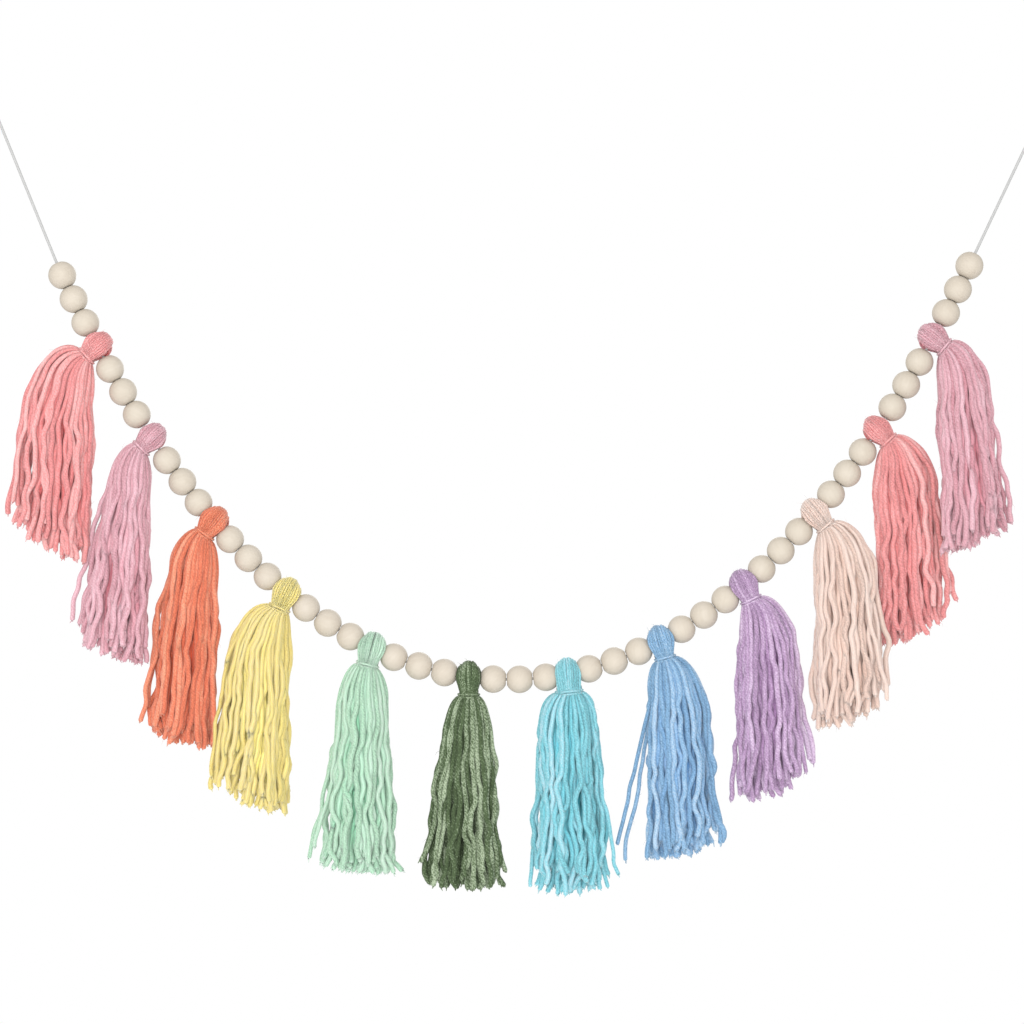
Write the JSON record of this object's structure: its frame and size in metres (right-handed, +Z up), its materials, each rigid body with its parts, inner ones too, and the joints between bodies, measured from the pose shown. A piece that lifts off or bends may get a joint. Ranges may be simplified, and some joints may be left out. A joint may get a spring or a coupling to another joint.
{
  "type": "tassel garland with wooden beads",
  "caption": "String garland of yarn tassels in soft colours with round wooden beads between them, hanging in a deep curve from a loop at each end.",
  "frame": {"origin": "the point where the left loop bears on its hook", "axes": "+X runs level from the left loop to the right loop, +Z is up, and the viewer stands on the -Y side"},
  "size_m": [0.6259, 0.0582, 0.4737],
  "materials": {
    "wood": "pale unvarnished beech, sanded smooth, faint fine grain",
    "string": "white twisted cotton string",
    "yarn_coral": "soft matt loosely twisted yarn, coral",
    "yarn_pink": "soft matt loosely twisted yarn, pink",
    "yarn_orange": "soft matt loosely twisted yarn, orange",
    "yarn_yellow": "soft matt loosely twisted yarn, yellow",
    "yarn_mint": "soft matt loosely twisted yarn, mint",
    "yarn_olive": "soft matt loosely twisted yarn, olive",
    "yarn_aqua": "soft matt loosely twisted yarn, aqua",
    "yarn_blue": "soft matt loosely twisted yarn, blue",
    "yarn_lilac": "soft matt loosely twisted yarn, lilac",
    "yarn_peach": "soft matt loosely twisted yarn, peach"
  },
  "bodies": {
    "root": {"bead_01": "wood", "bead_02": "wood", "bead_03": "wood", "bead_04": "wood", "bead_05": "wood", "bead_06": "wood", "bead_07": "wood", "bead_08": "wood", "bead_09": "wood", "bead_10": "wood", "bead_11": "wood", "bead_12": "wood", "bead_13": "wood", "bead_14": "wood", "bead_15": "wood", "bead_16": "wood", "bead_17": "wood", "bead_18": "wood", "bead_19": "wood", "bead_20": "wood", "bead_21": "wood", "bead_22": "wood", "bead_23": "wood", "bead_24": "wood", "bead_25": "wood", "bead_26": "wood", "bead_27": "wood", "bead_28": "wood", "bead_29": "wood", "bead_30": "wood", "bead_31": "wood", "bead_32": "wood", "bead_33": "wood", "bead_34": "wood", "bead_35": "wood", "bead_36": "wood", "bead_37": "wood", "bead_38": "wood", "bead_39": "wood", "tassel_coral": "yarn_coral", "tassel_pink": "yarn_pink", "tassel_orange": "yarn_orange", "tassel_yellow": "yarn_yellow", "tassel_mint": "yarn_mint", "tassel_olive": "yarn_olive", "tassel_aqua": "yarn_aqua", "tassel_blue": "yarn_blue", "tassel_lilac": "yarn_lilac", "tassel_peach": "yarn_peach", "tassel_coral_right": "yarn_coral", "tassel_pink_right": "yarn_pink", "string": "string"}
  },
  "joints": []
}
